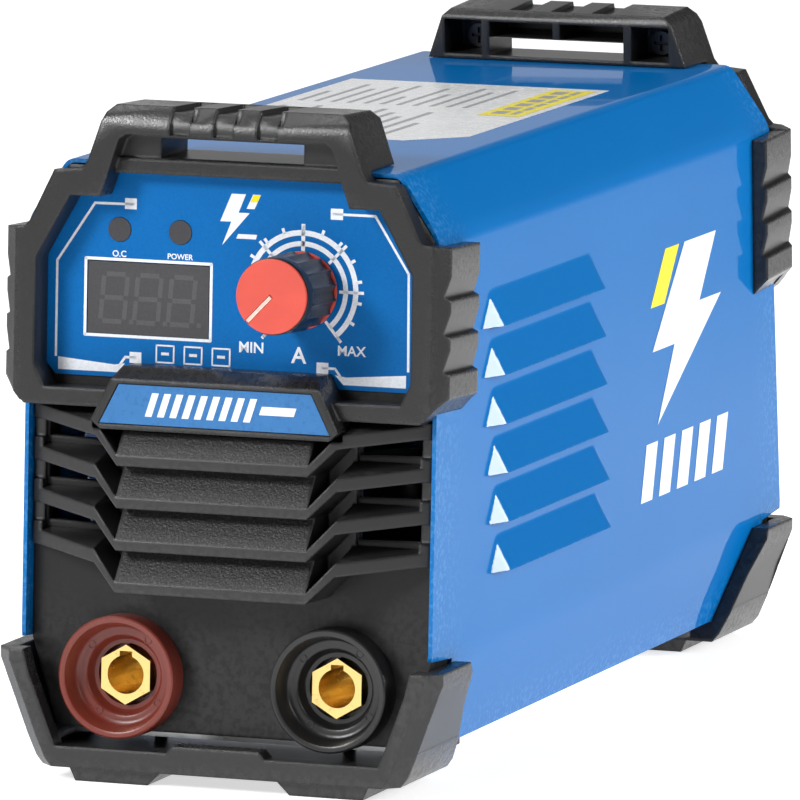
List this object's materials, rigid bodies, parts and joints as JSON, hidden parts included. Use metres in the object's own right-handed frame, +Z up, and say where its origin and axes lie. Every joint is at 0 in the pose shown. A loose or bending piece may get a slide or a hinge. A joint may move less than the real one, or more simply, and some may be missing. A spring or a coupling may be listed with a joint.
{
  "type": "stick welding inverter",
  "caption": "Portable stick welding inverter: blue folded steel case with side louvres, black grained guards with carry handles, control panel with current knob, and two welding sockets.",
  "frame": {"origin": "centre of the bounding box in plan, on the surface that the feet stand on", "axes": "+X to the right seen from the front, +Y from the front panel to the back, +Z up"},
  "size_m": [0.112, 0.2768, 0.1606],
  "materials": {
    "blue_paint": "glossy powder coat",
    "bare_steel": "zinc plated",
    "dark_steel": "black zinc",
    "grained_black": "grained moulding",
    "satin_black": "satin moulding",
    "label_blue": "printed film",
    "sticker_print": "printed film",
    "smoked_window": "smoked, printed grain",
    "lens_grey": "smoked lens",
    "plate_blue": "enamel",
    "knob_black": "satin moulding",
    "knob_red": "satin moulding",
    "collar_red": "phenolic moulding",
    "collar_black": "phenolic moulding",
    "brass": "turned",
    "copper": "drawn",
    "winding": "enamelled wire",
    "board_green": "solder mask",
    "board_parts": "moulded packages",
    "cable_grey": "flat cable",
    "wire_brown": "insulated wire",
    "fan_black": "satin moulding",
    "switch_red": "gloss moulding",
    "gland_black": "nylon",
    "seal_rubber": "rubber",
    "capacitor_sleeve": "sleeve",
    "heatsink_aluminium": "extruded",
    "ferrite": "sintered",
    "relay_blue": "moulded"
  },
  "bodies": {
    "case": {"cover": "blue_paint", "base_tray": "bare_steel", "cover_screws": "dark_steel", "front_panel": "satin_black", "front_slats": "satin_black", "front_guard": "grained_black", "front_foot_guard": "grained_black", "guard_screws": "dark_steel", "control_label": "label_blue", "display_window": "smoked_window", "indicator_lenses": "lens_grey", "nameplate": "plate_blue", "pot_body": "dark_steel", "pot_nut": "bare_steel", "positive_collar": "collar_red", "negative_collar": "collar_black", "positive_insert": "brass", "negative_insert": "brass", "socket_nuts": "bare_steel", "positive_busbar": "copper", "negative_busbar": "copper", "display_board": "board_green", "display_module": "board_parts", "display_cable": "cable_grey", "rear_panel": "satin_black", "rear_guard": "grained_black", "rear_foot_guard": "grained_black", "fan_frame": "fan_black", "fan_screws": "bare_steel", "switch_body": "satin_black", "gland_body": "gland_black", "gland_cap": "gland_black", "gland_seal": "seal_rubber", "gland_locknut": "gland_black", "earth_stud": "brass", "earth_nut": "bare_steel", "main_board": "board_green", "board_screws": "bare_steel", "board_standoffs": "brass", "control_board": "board_green", "control_standoffs": "brass", "bulk_capacitors": "capacitor_sleeve", "igbt_heatsink": "heatsink_aluminium", "igbts": "board_parts", "diode_heatsink": "heatsink_aluminium", "output_diodes": "board_parts", "transformer_core": "ferrite", "transformer_winding": "winding", "choke_core": "ferrite", "choke_winding": "winding", "bridge_rectifier": "board_parts", "start_relay": "relay_blue", "mains_wires": "wire_brown", "emblem": "sticker_print", "top_label": "sticker_print"},
    "knob": {"knob_grip": "knob_black", "knob_core": "knob_red", "pot_shaft": "bare_steel"},
    "rotor": {"fan_rotor": "fan_black"},
    "rocker": {"switch_rocker": "switch_red"}
  },
  "joints": [
    {"name": "knob_turn", "type": "hinge", "parent": "case", "child": "knob", "pos_m": [0.017, -0.12807, 0.11886], "axis": [0, 0.9988, -0.0499], "range_deg": [0, 272]},
    {"name": "fan_spin", "type": "hinge", "parent": "case", "child": "rotor", "pos_m": [0, 0.11016, 0.05334], "axis": [0, 0.9988, 0.0499], "continuous": true},
    {"name": "mains_rocker", "type": "hinge", "parent": "case", "child": "rocker", "pos_m": [0.021, 0.10853, 0.11584], "axis": [1, 0, 0], "range_deg": [0, 22]}
  ]
}
